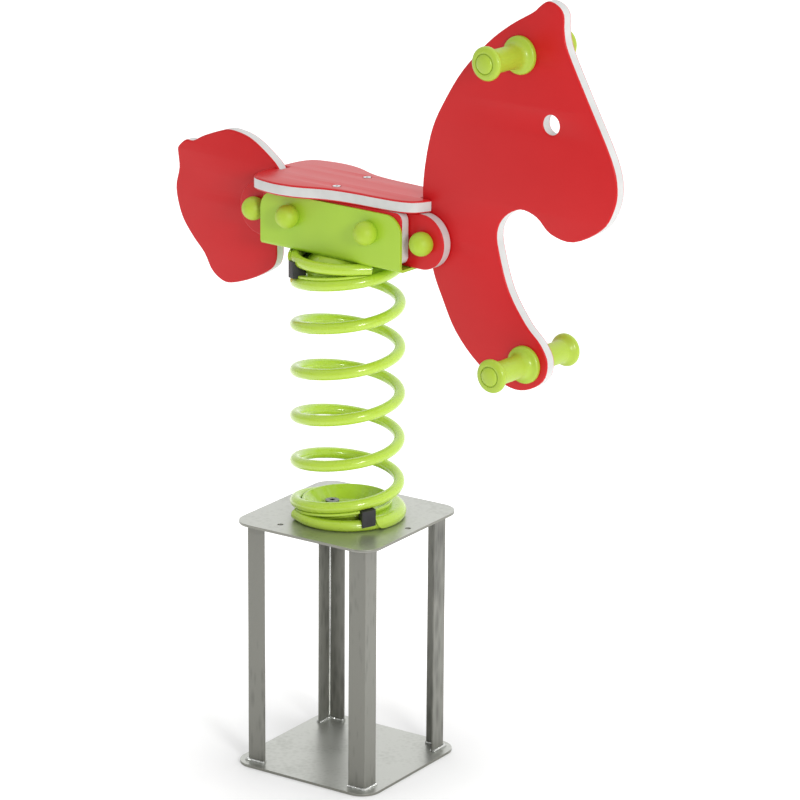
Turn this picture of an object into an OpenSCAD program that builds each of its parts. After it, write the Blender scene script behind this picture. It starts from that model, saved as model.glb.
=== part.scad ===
// Spring rider: a flat-panel horse on a coil spring that stands on a buried anchor frame.
// +X is the riding direction and +Z is up. The origin is the centre of the anchor's underside.
// Lengths are in millimetres and angles in degrees.

/* [Anchor frame] */
// Side of the square base plate and top plate
plate_w = 250; // [220:1:400]
// Corner radius of the plates
plate_corner = 31; // [5:1:40]
// Thickness of the plates
plate_t = 4; // [3:0.5:8]
// Height of the four legs between the plates
leg_h = 381; // [200:1:600]
// Width of each side of an angle-bar leg
leg_w = 30; // [20:1:50]
// Wall of an angle-bar leg
leg_t = 3; // [2:0.5:6]
// Distance from a plate's edge to a leg's outer corner
leg_inset = 18; // [10:1:40]
// Turn of the anchor frame about the spring's axis
anchor_turn = 5; // [0:1:45]
// Diameter of the holes in the top plate
plate_hole_d = 9; // [6:0.5:14]
// Distance from the middle of a plate's edge in to the circle of holes
plate_hole_in = 15; // [10:1:20]
// Number of holes in the top plate
plate_holes = 3; // [3:1:4]

/* [Spring] */
// Diameter of the spring's wire
wire_d = 16; // [12:0.5:18]
// Mean diameter of the coil
coil_d = 155; // [145:1:165]
// Height of the spring, wire included
spring_h = 409; // [330:1:500]
// Number of turns from one wire end to the other
spring_turns = 7.28; // [6.28:1:8.28]
// Turns that lie flat at each end
dead_turns = 0.62; // [0.55:0.01:0.7]
// Turn of the spring about its axis
coil_twist = 15; // [-30:1:30]

/* [Spring clamps] */
// Thickness of a clamp's floor
clamp_floor_t = 9; // [6:0.5:12]
// Room between a bolt's washer and the clamp's wall
washer_room = 4.5; // [3:0.5:8]
// Height of a clamp's rim above its seat
clamp_rim_h = 27; // [24:0.5:32]
// Wall of a clamp
clamp_wall = 4.5; // [3:0.5:6]
// Thickness of the flanges that hold the coil
clamp_flange_t = 3; // [2:0.5:4]
// Distance between the two clamp bolts
clamp_bolt_span = 58; // [50:1:62]
// Diameter of the clamp bolts
clamp_bolt_d = 12; // [8:1:13]

/* [Bracket] */
// Distance that the rider's middle lies ahead of the spring's axis
rider_forward = 7; // [0:1:8]
// Length of the bracket
bracket_l = 266; // [240:1:290]
// Gap between the flanges' upper edges and the seat
flange_gap = 3.9; // [2:0.1:8]
// Sheet thickness of the bracket
bracket_t = 4; // [3:0.5:4.5]
// Radius of the flanges' upper corners
bracket_corner = 28; // [10:1:35]
// Inner radius of the bends
bracket_bend = 3; // [1:0.5:5]

/* [Panels] */
// Thickness of the panel sheet
panel_t = 19; // [15:0.5:22]
// Distance from an end of the bracket in to a spacer panel's end
spacer_inset = 2; // [0:0.5:8]
// Height of a spacer panel's lower edge above the bracket's web
spacer_lift = 5.9; // [1:0.1:10]
// Corner radius of a spacer panel
spacer_corner = 12; // [5:1:25]
// Height of a beam panel
beam_h = 82; // [76:0.5:90]
// Distance from a beam bolt to the beam's round end
beam_end = 34; // [30:0.5:45]
// Distance from an end of the bracket in to a bracket bolt
bracket_bolt_in = 59; // [45:1:70]
// Height of the bracket bolts above the bracket's underside
bracket_bolt_h = 52; // [45:1:55]
// Diameter of the bracket bolts and beam bolts
panel_bolt_d = 10; // [8:0.5:12]

/* [Head panel] */
// Length of the head panel from the neck's rear edge to the muzzle
head_l = 344; // [300:1:400]
// Height of the head panel from its foot to the ear tip
head_h = 568; // [520:1:620]
// Depth of the head panel's foot below the bracket
head_drop = 147; // [120:1:170]
// Distance from the bracket's front end to the neck's rear edge
neck_gap = 6; // [3:1:12]
// Diameter of the eye hole
eye_d = 29; // [20:1:45]

/* [Tail panel] */
// Length of the tail panel
tail_l = 201; // [180:1:230]
// Height of the tail panel
tail_h = 237; // [225:1:250]
// Depth of the tail panel's foot below the bracket
tail_drop = 87; // [80:1:94]
// Distance from the bracket's rear end to the tail panel's front edge
tail_gap = 5; // [3:1:8]

/* [Seat] */
// How far the seat plate reaches past the bracket's rear end
seat_rear = 11; // [7:1:17]
// How far the seat plate reaches past the bracket's front end
seat_front = 24; // [20:1:46]
// Width of the seat plate at its widest
seat_w = 158; // [140:1:220]
// Distance from a spacer panel's inner face to the seat screw in it
seat_screw_in = 6.5; // [5:0.5:12]
// Diameter of the seat screws
seat_screw_d = 6; // [4:0.5:8]

/* [Handgrips and footrests] */
// Length of a grip from the panel to its end
grip_l = 84; // [70:1:120]
// Diameter of a grip's flange against the panel
grip_base_d = 55; // [50:1:70]
// Diameter of a grip at its waist
grip_waist_d = 33; // [28:1:40]
// Diameter of a grip's end flange
grip_end_d = 49; // [46:1:64]
// Thickness of the flange against the panel
grip_base_t = 8; // [6:1:14]
// Thickness of the end flange
grip_end_t = 9; // [6:1:14]
// Diameter of the bars inside the grips
grip_bar_d = 16; // [12:1:20]
// Diameter of the end caps on the bars
grip_cap_d = 28; // [22:1:30]
// Height of the end caps
grip_cap_t = 4; // [3:0.5:10]

/* [Dome caps] */
// Diameter of the dome caps over the bolt ends
dome_d = 35.5; // [32:0.5:42]
// Height of a dome cap's middle above the face that it lies on
dome_lift = 8; // [2:0.5:10]
// Gap between the beam's dome caps and the bracket's ends
dome_clear = 8.5; // [1:0.5:10]

/* [Hidden] */

// Smoothness of true circles
$fn = 64;
// Smoothness of balls and slices of balls
slice_fn = 160;
// How far a cutting solid runs past what it cuts
overrun = 1;
// Gap between the spring and what holds it
spring_gap = 0.4;
// Gap between a bolt and its hole, across the diameter
bolt_clear = 1;
// Gap between a bar or screw and its hole, across the diameter
bar_clear = 0.6;
// Gap between a panel and the slot that it passes through, on each side
slot_clear = 0.4;
// Smallest gap between one turn of the wire and the next
coil_gap = 0.8;
// Straight spans that a smooth outline has between two of its points
outline_steps = 4;

// Gap between the beam panels' lower edges and the bracket's web
beam_gap = 0.9;

// Heights of the assembly
ground_z = plate_t + leg_h + plate_t;
bracket_z = ground_z + spring_h + 2 * spring_gap;
web_top_z = bracket_z + bracket_t;
beam_z = web_top_z + beam_gap + beam_h / 2;
seat_z = beam_z + beam_h / 2;
seat_top_z = seat_z + panel_t;
bracket_bolt_z = bracket_z + bracket_bolt_h;
bracket_h = seat_z - flange_gap - bracket_z;
spacer_h = seat_z - web_top_z - spacer_lift;

// Lengths along the rider, each measured from the bracket's ends
spacer_l = bracket_l - 2 * spacer_inset;
bracket_bolt_span = bracket_l - 2 * bracket_bolt_in;
beam_bolt_span = bracket_l + dome_d + 2 * dome_clear;
beam_l = beam_bolt_span + 2 * beam_end;
neck_x = bracket_l / 2 + neck_gap;
tail_x = bracket_l / 2 + tail_gap;
seat_rear_x = bracket_l / 2 + seat_rear;
seat_l = seat_rear + bracket_l + seat_front;

// Faces of the panel stack, measured from the middle plane
centre_face = panel_t / 2;
beam_face = centre_face + panel_t;
spacer_face = beam_face + panel_t;
flange_face = spacer_face + bracket_t;
seat_screw_span = 2 * (beam_face + seat_screw_in);

// Colours of the finishes
red = [0.78, 0.16, 0.18];
lime = [0.66, 0.81, 0.22];
zinc = [0.72, 0.73, 0.70];
dark_zinc = [0.50, 0.50, 0.44];
rubber = [0.18, 0.18, 0.18];
bright_steel = [0.78, 0.79, 0.80];

// Plan shapes

module round_square(size, corner) {
    square([size.x - 2 * corner, size.y], center = true);
    square([size.x, size.y - 2 * corner], center = true);
    for (x = [-1, 1], y = [-1, 1])
        translate([x * (size.x / 2 - corner), y * (size.y / 2 - corner)])
            circle(r = corner);
}

// Stands on its lower edge, with only the two lower corners round
module round_foot(size, corner) {
    translate([-size.x / 2, corner])
        square([size.x, size.y - corner]);
    translate([corner - size.x / 2, 0])
        square([size.x - 2 * corner, size.y]);
    for (x = [-1, 1])
        translate([x * (size.x / 2 - corner), corner])
            circle(r = corner);
}

module capsule(length, height) {
    square([length - height, height], center = true);
    for (x = [-1, 1])
        translate([x * (length - height) / 2, 0])
            circle(d = height);
}

// A closed smooth curve through hand-chosen points
function curve_point(a, b, c, d, s) =
    (2 * b + (c - a) * s + (2 * a - 5 * b + 4 * c - d) * s * s + (3 * b - a - 3 * c + d) * s * s * s) / 2;
function smooth_loop(points) =
    let (n = len(points))
    [
        for (i = [0:n - 1], s = [0:outline_steps - 1])
            curve_point(points[(i + n - 1) % n], points[i], points[(i + 1) % n], points[(i + 2) % n],
                s / outline_steps)
    ];
function shares_to_points(shares, corner, size) = [
    for (share = shares) [corner.x + share.x * size.x, corner.y + share.y * size.y]
];

// A flat panel whose outline is drawn in X and Z, standing between two values of Y
module upright(y_from, thickness) {
    translate([0, y_from + thickness, 0])
        rotate([90, 0, 0])
            linear_extrude(thickness)
                children();
}

// The slice of a ball that has the given diameter and height, on its flat side
module ball_slice(diameter, height) {
    ball_r = (pow(diameter / 2, 2) + pow(height, 2)) / (2 * height);
    intersection() {
        translate([0, 0, height - ball_r])
            sphere(r = ball_r, $fn = slice_fn);
        cylinder(d = diameter + overrun, h = height + overrun);
    }
}

// A round bar or hole along Y
module cross_bar(diameter, x, z, reach) {
    translate([x, -reach, z])
        rotate([-90, 0, 0])
            cylinder(d = diameter, h = 2 * reach);
}

// Triangles round a row of rings, each ring clockwise when its outer side is to the right.
// An end is closed as a ribbon, from its first and last points to the two in the middle.
function skin_faces(rings, sides) = concat(
    [
        for (i = [0:rings - 2], j = [0:sides - 1], half = [0, 1])
            let (a = i * sides + j, b = i * sides + (j + 1) % sides)
                half == 0 ? [a, a + sides, b + sides] : [a, b + sides, b]
    ],
    [
        for (i = [0:sides / 2 - 2], half = [0, 1])
            let (j = sides - 1 - i)
                half == 0 ? [i, i + 1, j - 1] : [i, j - 1, j]
    ],
    [
        for (i = [0:sides / 2 - 2], half = [0, 1])
            let (a = (rings - 1) * sides + i, b = rings * sides - 1 - i)
                half == 0 ? [b - 1, a + 1, a] : [b, b - 1, a]
    ]
);

// Anchor frame

module on_anchor() {
    rotate([0, 0, anchor_turn])
        children();
}

module anchor_plate_blank(z) {
    translate([0, 0, z])
        linear_extrude(plate_t)
            round_square([plate_w, plate_w], plate_corner);
}

module clamp_bolt_holes(z, height) {
    for (side = [-1, 1])
        translate([side * clamp_bolt_span / 2, 0, z - overrun])
            cylinder(d = clamp_bolt_d + bolt_clear, h = height + 2 * overrun);
}

module base_plate() {
    color(zinc)
        on_anchor()
            anchor_plate_blank(0);
}

module top_plate() {
    color(zinc)
        difference() {
            on_anchor()
                difference() {
                    anchor_plate_blank(ground_z - plate_t);
                    for (i = [0:plate_holes - 1])
                        rotate([0, 0, i * 360 / plate_holes])
                            translate([plate_w / 2 - plate_hole_in, 0, ground_z - plate_t - overrun])
                                cylinder(d = plate_hole_d, h = plate_t + 2 * overrun);
                }
            clamp_bolt_holes(ground_z - plate_t, plate_t);
        }
}

// One angle-bar leg with its outer corner at a corner of the frame
module leg(side_x, side_y) {
    reach = plate_w / 2 - leg_inset;
    color(dark_zinc)
        on_anchor()
            translate([side_x * reach, side_y * reach, plate_t])
                linear_extrude(leg_h)
                    polygon([
                        [0, 0],
                        [-side_x * leg_w, 0],
                        [-side_x * leg_w, -side_y * leg_t],
                        [-side_x * leg_t, -side_y * leg_t],
                        [-side_x * leg_t, -side_y * leg_w],
                        [0, -side_y * leg_w]
                    ]);
}

// Spring
// The wire's place is given by its turn, counted from the lower wire end. The pitch grows from
// nothing at the flat end turn to its full value, and falls off the same way at the upper end.

// Turn at which the pitch has most of its value, and that share of the full pitch
lift_turns = dead_turns + 0.18;
lift_share = 0.84;
// Turn from which the pitch has its full value
full_turns = 2.5;
coil_r = coil_d / 2;
wire_r = wire_d / 2;
coil_rings = 24;
wire_sides = 8;

function pitch_share(k) = k <= dead_turns ? 0
    : lookup(k, [[dead_turns, 0], [lift_turns, lift_share], [full_turns, 1]]);
function end_rise(k) = k <= dead_turns ? 0
    : k <= lift_turns ? (k - dead_turns) * pitch_share(k) / 2
    : k <= full_turns ? end_rise(lift_turns) + (k - lift_turns) * (lift_share + pitch_share(k)) / 2
    : end_rise(full_turns) + k - full_turns;
full_rise = 2 * end_rise(spring_turns / 2);
coil_pitch = (spring_h - wire_d) / full_rise;
function coil_rise(k) = coil_pitch
    * (k <= spring_turns / 2 ? end_rise(k) : full_rise - end_rise(spring_turns - k));
function coil_turn(k) = 90 + coil_twist + 360 * (k - spring_turns / 2);
// Height of the wire's centre above the seat that the spring stands on
function coil_h(k) = spring_gap + wire_r + coil_rise(k);
function coil_out(k) = [cos(coil_turn(k)), sin(coil_turn(k)), 0];
function coil_point(k) = coil_r * coil_out(k) + [0, 0, ground_z + coil_h(k)];
function coil_along(k) =
    let (slope = coil_pitch * pitch_share(min(k, spring_turns - k)) / (PI * coil_d),
        way = [-sin(coil_turn(k)), cos(coil_turn(k)), slope])
    way / norm(way);

// The wire starts where the turn above it clears it, and its ends run straight for one diameter
function tip_turn(k = 0) =
    coil_rise(k + 1) >= wire_d + coil_gap ? k : tip_turn(k + 1 / coil_rings / 4);
wire_start = tip_turn() + wire_d / (PI * coil_d);
wire_rings = ceil((spring_turns - 2 * wire_start) * coil_rings);
wire_turns = [
    for (i = [0:wire_rings]) wire_start + (spring_turns - 2 * wire_start) * i / wire_rings
];
function wire_ring(k, run) =
    let (along = coil_along(k), out = coil_out(k), up = cross(along, out), at = coil_point(k) + run * along)
    [
        for (j = [0:wire_sides - 1])
            at + wire_r * (cos(360 * j / wire_sides) * out + sin(360 * j / wire_sides) * up)
    ];
wire_skin = [
    for (ring = concat([wire_ring(wire_turns[0], -wire_d)],
            [for (k = wire_turns) wire_ring(k, 0)],
            [wire_ring(wire_turns[wire_rings], wire_d)]))
        each ring
];

// Least gap of the wire to itself, between centre points that are over half a turn apart
wire_line = concat(
    [coil_point(wire_turns[0]) - wire_d * coil_along(wire_turns[0])],
    [for (k = wire_turns) coil_point(k)],
    [coil_point(wire_turns[wire_rings]) + wire_d * coil_along(wire_turns[wire_rings])]
);
least_coil_gap = min([
    for (i = [0:len(wire_line) - 1], j = [i + coil_rings / 2:1:len(wire_line) - 1])
        norm(wire_line[i] - wire_line[j])
]) - wire_d;
echo(least_coil_gap = least_coil_gap);

module spring() {
    color(lime)
        polyhedron(wire_skin, skin_faces(len(wire_line), wire_sides));
}

// Spring clamps, drawn with their seat at z = 0 and turned over for the upper end

// Turns between which the claw holds down the flat end of the wire, from its round tip
claw_turns = [0.292, 0.62];
// Turns between which the lip lies under the second turn of the wire
lip_turns = [1.06, 1.245];
// Turns between which the pinch block fills the gap between the first two turns
block_turns = [1.249, 1.287];
// How far round the wire the claw reaches from the wire's top
claw_drape = 130;
// Part of a turn over which the claw's tip is rounded
claw_tip_turns = 0.045;
// Flat faces of the claw's section over the wire
claw_sides = 5;
// How far the lip reaches past the wire's middle
lip_reach = wire_r / 2;
// Gap between the clamp's rim and the inside of the coil
rim_gap = 1.5;
rim_r = coil_r - wire_r - rim_gap;
washer_d = clamp_bolt_d * 2;
floor_r = clamp_bolt_span / 2 + washer_d / 2 + washer_room + clamp_wall;
// Inner radius of the claw, inside the clamp's sloping wall
claw_in_r = rim_r - 1.4 * clamp_wall;
// Radii of the skirt that carries the lip up from the clamp's rim, and its depth
skirt_in_r = rim_r - 0.9 * clamp_wall;
skirt_out_r = rim_r - 0.2 * clamp_wall;
skirt_h = 12;
// How far the pinch block stands out past the wire, and how far it reaches down
block_reach = 4;
block_h = 25;
// Gap between the pinch block and what it lies against
block_gap = 1;

// A solid that follows the wire round. Its section is a ribbon, out along one side and back along the
// other. A point has a radius, a height above the wire's centre and a part of a turn by which it starts late
module ramp(turns, section) {
    steps = max(3, ceil((turns[1] - turns[0]) * 2 * coil_rings));
    rings = [
        for (i = [0:steps], point = section)
            let (from = turns[0] + point.z, k = from + (turns[1] - from) * i / steps)
                point.x * coil_out(k) + [0, 0, coil_h(k) + point.y]
    ];
    polyhedron(rings, skin_faces(steps + 1, len(section)));
}

// The claw goes out from the clamp's wall and down round the outside of the wire
claw_low_r = (wire_r + spring_gap) / cos(claw_drape / claw_sides / 2);
claw_high_r = claw_low_r + clamp_flange_t;
function claw_point(i, radius) =
    let (down = i / claw_sides, turn = 90 - claw_drape * down)
    [coil_r + radius * cos(turn), radius * sin(turn), claw_tip_turns * (1 - sqrt(1 - down * down))];
claw_section = concat(
    [[claw_in_r, claw_high_r, 0]],
    [for (i = [0:claw_sides]) claw_point(i, claw_high_r)],
    [for (i = [claw_sides:-1:0]) claw_point(i, claw_low_r)],
    [[claw_in_r, claw_low_r, 0]]
);

// The lip is the outward edge of a skirt that stands in the clamp's rim
lip_top = -wire_r - spring_gap;
lip_section = [
    [skirt_in_r, lip_top - skirt_h, 0],
    [skirt_in_r, lip_top, 0],
    [coil_r + lip_reach, lip_top, 0],
    [coil_r + lip_reach, lip_top - clamp_flange_t, 0],
    [skirt_out_r, lip_top - clamp_flange_t, 0],
    [skirt_out_r, lip_top - skirt_h, 0]
];

module clamp(turn) {
    difference() {
        union() {
            rotate_extrude()
                polygon([
                    [0, 0],
                    [floor_r, 0],
                    [rim_r, clamp_rim_h - clamp_wall],
                    [rim_r, clamp_rim_h],
                    [rim_r - clamp_wall, clamp_rim_h],
                    [floor_r - clamp_wall, clamp_floor_t],
                    [0, clamp_floor_t]
                ]);
            rotate([0, 0, turn]) {
                ramp(claw_turns, claw_section);
                ramp(lip_turns, lip_section);
            }
        }
        clamp_bolt_holes(0, clamp_floor_t);
    }
}

module pinch_block(turn) {
    block_in_r = rim_r + spring_gap;
    block_out_r = coil_r + wire_r + block_reach;
    difference() {
        rotate([0, 0, turn])
            ramp(block_turns, [
                [block_in_r, lip_top - block_h, 0],
                [block_in_r, lip_top, 0],
                [block_out_r, lip_top, 0],
                [block_out_r, lip_top - block_h, 0]
            ]);
        rotate_extrude()
            translate([coil_r, coil_h(0)])
                circle(r = wire_r + block_gap);
    }
}

// Clamp bolts pass through the clamp's floor and the sheet behind it
washer_t = 2.5;
clamp_head_d = clamp_bolt_d * 1.75;
clamp_head_h = clamp_bolt_d * 0.5;
clamp_socket_d = clamp_bolt_d * 0.67;
clamp_nut_d = clamp_bolt_d * 1.8;
clamp_nut_h = clamp_bolt_d * 0.8;
// Length of bolt that shows past the nut
bolt_end = 2;

module at_clamp_bolts() {
    for (side = [-1, 1])
        translate([side * clamp_bolt_span / 2, 0, 0])
            children();
}

module clamp_bolts(sheet_t) {
    reach = sheet_t + clamp_nut_h + bolt_end;
    at_clamp_bolts()
        difference() {
            union() {
                translate([0, 0, -reach])
                    cylinder(d = clamp_bolt_d, h = reach + clamp_floor_t + washer_t + clamp_head_h);
                translate([0, 0, clamp_floor_t + washer_t])
                    cylinder(d = clamp_head_d, h = clamp_head_h);
            }
            translate([0, 0, clamp_floor_t + washer_t + clamp_head_h / 2])
                cylinder(d = clamp_socket_d, h = clamp_head_h, $fn = 6);
        }
}

module clamp_washers() {
    at_clamp_bolts()
        translate([0, 0, clamp_floor_t])
            difference() {
                cylinder(d = washer_d, h = washer_t);
                translate([0, 0, -overrun])
                    cylinder(d = clamp_bolt_d + bar_clear, h = washer_t + 2 * overrun);
            }
}

module clamp_nuts(sheet_t) {
    at_clamp_bolts()
        translate([0, 0, -sheet_t - clamp_nut_h])
            difference() {
                cylinder(d = clamp_nut_d, h = clamp_nut_h, $fn = 6);
                translate([0, 0, -overrun])
                    cylinder(d = clamp_bolt_d + bar_clear, h = clamp_nut_h + 2 * overrun);
            }
}

module at_lower_end() {
    translate([0, 0, ground_z])
        children();
}

module at_upper_end() {
    translate([0, 0, bracket_z])
        rotate([0, 180, 0])
            children();
}

// Turn that brings what is turned over onto the upper end of a twisted spring
upper_turn = -2 * coil_twist;

module lower_clamp() {
    color(lime)
        at_lower_end()
            clamp(0);
}

module lower_clamp_bolts() {
    color(bright_steel)
        at_lower_end()
            clamp_bolts(plate_t);
}

module lower_clamp_washers() {
    color(bright_steel)
        at_lower_end()
            clamp_washers();
}

module lower_clamp_nuts() {
    color(bright_steel)
        at_lower_end()
            clamp_nuts(plate_t);
}

module lower_pinch_block() {
    color(rubber)
        at_lower_end()
            pinch_block(0);
}

module upper_clamp() {
    color(lime)
        at_upper_end()
            clamp(upper_turn);
}

module upper_clamp_bolts() {
    color(bright_steel)
        at_upper_end()
            clamp_bolts(bracket_t);
}

module upper_clamp_washers() {
    color(bright_steel)
        at_upper_end()
            clamp_washers();
}

module upper_clamp_nuts() {
    color(bright_steel)
        at_upper_end()
            clamp_nuts(bracket_t);
}

module upper_pinch_block() {
    color(rubber)
        at_upper_end()
            pinch_block(upper_turn);
}

// Bracket: one folded sheet, a web on the upper clamp and a flange up each side of the panels.
// The bracket and all it carries are drawn about the rider's middle.

module on_rider(finish) {
    color(finish)
        translate([rider_forward, 0, 0])
            children();
}

module bracket_bolt_holes(reach) {
    for (side = [-1, 1])
        cross_bar(panel_bolt_d + bolt_clear, side * bracket_bolt_span / 2, bracket_bolt_z, reach + overrun);
}

module beam_bolt_holes(reach) {
    for (side = [-1, 1])
        cross_bar(panel_bolt_d + bolt_clear, side * beam_bolt_span / 2, beam_z, reach + overrun);
}

module bracket() {
    on_rider(lime)
        difference() {
            intersection() {
                translate([-bracket_l / 2, 0, bracket_z])
                    rotate([90, 0, 90])
                        linear_extrude(bracket_l)
                            difference() {
                                round_foot([2 * flange_face, bracket_h], bracket_bend + bracket_t);
                                translate([0, bracket_t])
                                    round_foot([2 * spacer_face, bracket_h], bracket_bend);
                            }
                translate([0, 0, bracket_z + bracket_h])
                    upright(-flange_face - overrun, 2 * (flange_face + overrun))
                        mirror([0, 1])
                            round_foot([bracket_l, bracket_h + overrun], bracket_corner);
            }
            bracket_bolt_holes(flange_face);
            translate([-rider_forward, 0, 0])
                clamp_bolt_holes(bracket_z, bracket_t);
        }
}

// Panels

module spacer_panel(side) {
    y_from = side > 0 ? beam_face : -spacer_face;
    on_rider(red)
        difference() {
            translate([0, 0, seat_z - spacer_h / 2])
                upright(y_from, panel_t)
                    round_square([spacer_l, spacer_h], spacer_corner);
            bracket_bolt_holes(spacer_face);
            translate([0, side * seat_screw_span / 2, seat_z - seat_screw_depth])
                cylinder(d = seat_screw_d + bar_clear, h = seat_screw_depth + overrun);
        }
}

// Relief in the beam's lower edge for each nut of the upper clamp
relief_w = clamp_nut_d + 2 * bolt_clear;
relief_h = clamp_nut_h + bolt_end + bolt_clear - beam_gap;

module beam_panel(side) {
    y_from = side > 0 ? centre_face : -beam_face;
    on_rider(red)
        difference() {
            translate([0, 0, beam_z])
                upright(y_from, panel_t)
                    difference() {
                        capsule(beam_l, beam_h);
                        for (nut = [-1, 1])
                            translate([nut * clamp_bolt_span / 2 - rider_forward, -beam_h / 2])
                                square([relief_w, 2 * relief_h], center = true);
                    }
            bracket_bolt_holes(beam_face);
            beam_bolt_holes(beam_face);
        }
}

// Tongue by which the head and tail panels reach in to the bracket's bolts
tongue_lift = 6.5;
tongue_h = seat_z - slot_clear - web_top_z - tongue_lift;
tongue_end = clamp_bolt_span / 2 + relief_w / 2;

module tongue(from_x, to_x) {
    translate([from_x, web_top_z + tongue_lift])
        square([to_x - from_x, tongue_h]);
}

// Outline of the head panel as shares of its length and height, from the ear tip round the muzzle,
// the chest, the foot and the nape
head_shares = [
    [0.632, 1], [0.68, 0.994], [0.713, 0.972], [0.717, 0.93], [0.739, 0.882], [0.834, 0.777],
    [0.963, 0.637], [0.997, 0.565], [0.982, 0.508], [0.924, 0.454], [0.785, 0.409], [0.668, 0.418],
    [0.596, 0.453], [0.511, 0.465], [0.429, 0.438], [0.392, 0.393], [0.409, 0.333], [0.46, 0.247],
    [0.548, 0.172], [0.626, 0.128], [0.664, 0.084], [0.642, 0.034], [0.549, 0], [0.446, 0.002],
    [0.304, 0.042], [0.183, 0.113], [0.106, 0.197], [0.06, 0.259], [0.026, 0.349], [0, 0.449],
    [0.012, 0.541], [0.049, 0.634], [0.114, 0.711], [0.203, 0.792], [0.332, 0.874], [0.446, 0.927],
    [0.558, 0.967], [0.593, 0.985]
];
eye_share = [0.661, 0.694];
handle_share = [0.504, 0.857];
footrest_share = [0.552, 0.07];
head_size = [head_l, head_h];
head_corner = [neck_x, bracket_z - head_drop];
function on_head(share) = [head_corner.x + share.x * head_size.x, head_corner.y + share.y * head_size.y];
handle_at = on_head(handle_share);
footrest_at = on_head(footrest_share);
eye_at = on_head(eye_share);

module head_panel() {
    on_rider(red)
        difference() {
            union() {
                upright(-centre_face, panel_t)
                    polygon(smooth_loop(shares_to_points(head_shares, head_corner, head_size)));
                upright(-centre_face, panel_t)
                    tongue(tongue_end - rider_forward, neck_x + beam_h / 4);
            }
            cross_bar(eye_d, eye_at.x, eye_at.y, centre_face + overrun);
            for (bar = [handle_at, footrest_at])
                cross_bar(grip_bar_d + bar_clear, bar.x, bar.y, centre_face + overrun);
            bracket_bolt_holes(centre_face);
            beam_bolt_holes(centre_face);
        }
}

// Outline of the tail panel as shares of its length and height, from its rear tip over the top,
// down the front edge and back along the foot
tail_shares = [
    [0.02, 0.794], [0.03, 0.83], [0.1, 0.878], [0.174, 0.881], [0.279, 0.927], [0.454, 0.983], [0.557, 1],
    [0.72, 0.978], [0.861, 0.917], [1.017, 0.815], [1.055, 0.7], [1.055, 0.55], [1.03, 0.43], [1, 0.33],
    [0.995, 0.223], [0.939, 0.148], [0.755, 0.06], [0.548, 0], [0.444, 0.007], [0.351, 0.061],
    [0.28, 0.158], [0.156, 0.262], [0.052, 0.382], [0, 0.55], [0.033, 0.689]
];
tail_size = [tail_l, tail_h];
tail_corner = [-tail_x - tail_l, bracket_z - tail_drop];

module tail_panel() {
    on_rider(red)
        difference() {
            union() {
                upright(-centre_face, panel_t)
                    polygon(smooth_loop(shares_to_points(tail_shares, tail_corner, tail_size)));
                upright(-centre_face, panel_t)
                    tongue(-tail_x - beam_h / 4, -tongue_end - rider_forward);
            }
            bracket_bolt_holes(centre_face);
            beam_bolt_holes(centre_face);
        }
}

// Seat plate: wide at the rear, drawn in at the thighs, slotted for the tail and the neck
// Half outline as shares of the length, from the rear, and of half the width
seat_shares = [
    [0.004, 0.45], [0.018, 0.7], [0.05, 0.87], [0.12, 0.96], [0.22, 1], [0.33, 0.93], [0.47, 0.71],
    [0.607, 0.62], [0.775, 0.59], [0.893, 0.54], [0.96, 0.41], [0.993, 0.17]
];
seat_outline_shares = concat(
    [[0, 0]],
    seat_shares,
    [[1, 0]],
    [for (i = [len(seat_shares) - 1:-1:0]) [seat_shares[i].x, -seat_shares[i].y]]
);
// Highest forward and rearward reach of the slots, past the edges of the panels that they hold
tail_slot_share = 0.05;
neck_slot_share = 0.005;
slot_w = panel_t + 2 * slot_clear;
seat_screw_depth = 40;
seat_screw_head_d = seat_screw_d * 2;
seat_screw_head_h = seat_screw_d / 2;

module seat() {
    tail_slot_end = -tail_x + tail_slot_share * tail_l + slot_clear;
    neck_slot_end = neck_x - neck_slot_share * head_l - slot_clear;
    on_rider(red)
        difference() {
            translate([0, 0, seat_z])
                linear_extrude(panel_t)
                    difference() {
                        polygon(smooth_loop(shares_to_points(seat_outline_shares, [-seat_rear_x, 0],
                            [seat_l, seat_w / 2])));
                        translate([tail_slot_end - seat_l, -slot_w / 2])
                            square([seat_l, slot_w]);
                        translate([neck_slot_end, -slot_w / 2])
                            square([seat_l, slot_w]);
                    }
            at_seat_screws() {
                translate([0, 0, seat_z - overrun])
                    cylinder(d = seat_screw_d + bar_clear, h = panel_t + 2 * overrun);
                translate([0, 0, seat_top_z - seat_screw_head_h - bar_clear])
                    cylinder(d = seat_screw_head_d + bar_clear, h = seat_screw_head_h + bar_clear + overrun);
            }
        }
}

module at_seat_screws() {
    for (side = [-1, 1])
        translate([0, side * seat_screw_span / 2, 0])
            children();
}

module seat_screws() {
    screw_end = seat_z - seat_screw_depth + bar_clear;
    on_rider(bright_steel)
        at_seat_screws()
            difference() {
                union() {
                    translate([0, 0, screw_end])
                        cylinder(d = seat_screw_d, h = seat_top_z - screw_end);
                    translate([0, 0, seat_top_z - seat_screw_head_h])
                        cylinder(d = seat_screw_head_d, h = seat_screw_head_h);
                }
                translate([0, 0, seat_top_z - seat_screw_head_h / 2])
                    cylinder(d = seat_screw_d * 0.8, h = seat_screw_head_h, $fn = 6);
            }
}

// Bolts across the panels, with a hexagon head on the right side, a nut on the left and a dome cap on both

panel_head_d = panel_bolt_d * 1.9;
panel_head_h = panel_bolt_d * 0.64;
panel_nut_h = panel_bolt_d * 0.8;
// Room between a dome cap and the bolt end inside it
cap_room = 1;

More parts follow.
